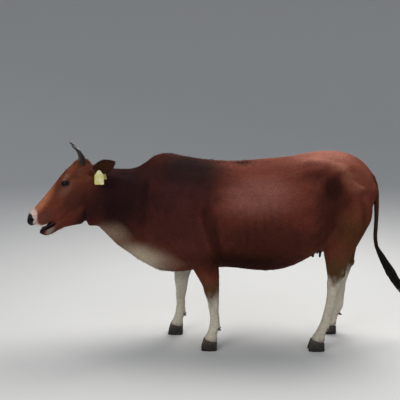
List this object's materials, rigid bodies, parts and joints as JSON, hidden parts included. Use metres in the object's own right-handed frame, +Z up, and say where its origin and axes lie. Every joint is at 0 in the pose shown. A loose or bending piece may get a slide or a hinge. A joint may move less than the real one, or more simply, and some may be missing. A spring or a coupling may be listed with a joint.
{
  "type": "cow, still life-size model",
  "caption": "Standing small humped cow as a still life-size model: short horns, ear tags in both ears, slack dewlap, hanging tail with a dark switch.",
  "frame": {"origin": "on the ground, at the middle of the bounding box in x and y", "axes": "+Z up; the cow faces -X and its left side is towards -Y"},
  "size_m": [2.2292, 0.568, 1.1948],
  "materials": {
    "coat": "short flat mahogany red hair, pale on brisket and lower legs, mealy ring round the muzzle",
    "udder_skin": "bare dark skin with thin hair",
    "switch_hair": "long black brown hair in locks",
    "horn": "dark ridged horn, worn and slightly shiny at the tip",
    "hoof": "dark hoof horn with growth rings",
    "eye": "wet dark brown eye with a clear cornea",
    "tag_plastic": "yellow flexible plastic, bare, a little faded"
  },
  "bodies": {
    "root": {"claw_fore_left_inner": "hoof", "claw_fore_left_outer": "hoof", "claw_fore_right_inner": "hoof", "claw_fore_right_outer": "hoof", "claw_hind_left_inner": "hoof", "claw_hind_left_outer": "hoof", "claw_hind_right_inner": "hoof", "claw_hind_right_outer": "hoof", "dewclaw_fore_left_inner": "hoof", "dewclaw_fore_left_outer": "hoof", "dewclaw_fore_right_inner": "hoof", "dewclaw_fore_right_outer": "hoof", "dewclaw_hind_left_inner": "hoof", "dewclaw_hind_left_outer": "hoof", "dewclaw_hind_right_inner": "hoof", "dewclaw_hind_right_outer": "hoof", "ear_left": "coat", "ear_right": "coat", "eye_left": "eye", "eye_right": "eye", "foreleg_left": "coat", "foreleg_right": "coat", "head": "coat", "hindleg_left": "coat", "hindleg_right": "coat", "horn_left": "horn", "horn_right": "horn", "lower_jaw": "coat", "neck": "coat", "tag_left_back": "tag_plastic", "tag_left_front": "tag_plastic", "tag_right_back": "tag_plastic", "tag_right_front": "tag_plastic", "tail": "coat", "tail_switch": "switch_hair", "trunk": "coat", "udder": "udder_skin"}
  },
  "joints": []
}
